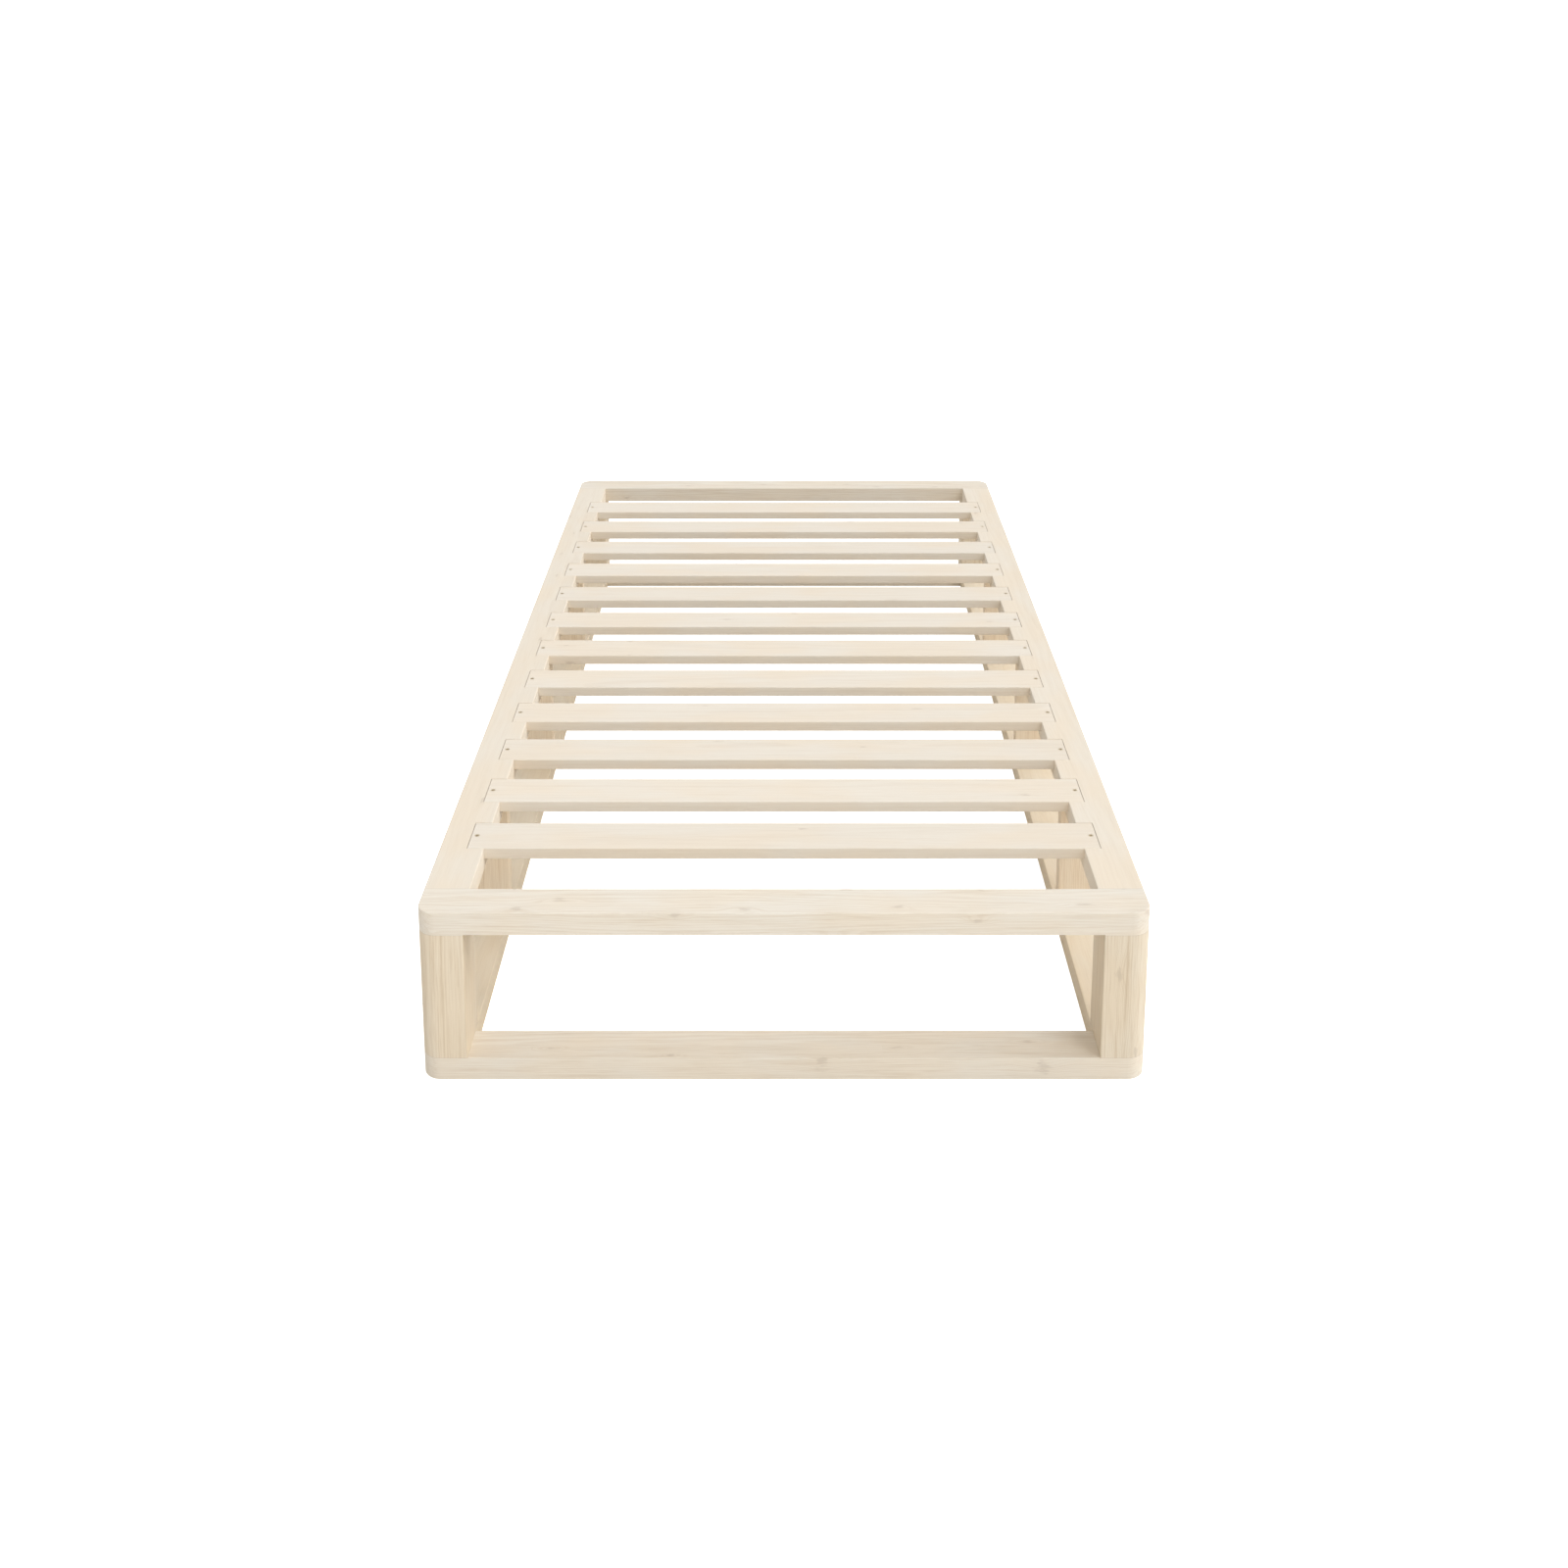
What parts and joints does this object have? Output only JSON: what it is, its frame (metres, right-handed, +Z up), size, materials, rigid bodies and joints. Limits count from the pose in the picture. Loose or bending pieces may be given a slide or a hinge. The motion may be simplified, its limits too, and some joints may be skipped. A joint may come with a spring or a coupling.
{
  "type": "bed frame",
  "caption": "Low slatted wooden bed frame: an open box of flat rails on posts, with slats set flush into the upper side rails to carry a mattress.",
  "frame": {"origin": "on the floor, in the middle of the bed's outline", "axes": "+Z up; +Y along the bed's length, from the front end to the back end; +X across the bed, towards its right side seen from the front end"},
  "size_m": [1, 2, 0.252],
  "materials": {
    "pine_frame": "planed, matt, unvarnished",
    "pine_slat": "planed, matt, unvarnished",
    "beech_dowel": "raw",
    "screw_metal": "satin"
  },
  "bodies": {
    "root": {"front_lower_rail": "pine_frame", "front_upper_rail": "pine_frame", "back_lower_rail": "pine_frame", "back_upper_rail": "pine_frame", "left_lower_rail": "pine_frame", "left_upper_rail": "pine_frame", "front_left_post": "pine_frame", "back_left_post": "pine_frame", "left_upright_1": "pine_frame", "left_upright_2": "pine_frame", "left_upright_3": "pine_frame", "right_lower_rail": "pine_frame", "right_upper_rail": "pine_frame", "front_right_post": "pine_frame", "back_right_post": "pine_frame", "right_upright_1": "pine_frame", "right_upright_2": "pine_frame", "right_upright_3": "pine_frame", "slat_01": "pine_slat", "slat_02": "pine_slat", "slat_03": "pine_slat", "slat_04": "pine_slat", "slat_05": "pine_slat", "slat_06": "pine_slat", "slat_07": "pine_slat", "slat_08": "pine_slat", "slat_09": "pine_slat", "slat_10": "pine_slat", "slat_11": "pine_slat", "slat_12": "pine_slat", "post_dowels": "beech_dowel", "upright_dowels": "beech_dowel", "rail_dowels": "beech_dowel", "slat_screws": "screw_metal"}
  },
  "joints": []
}
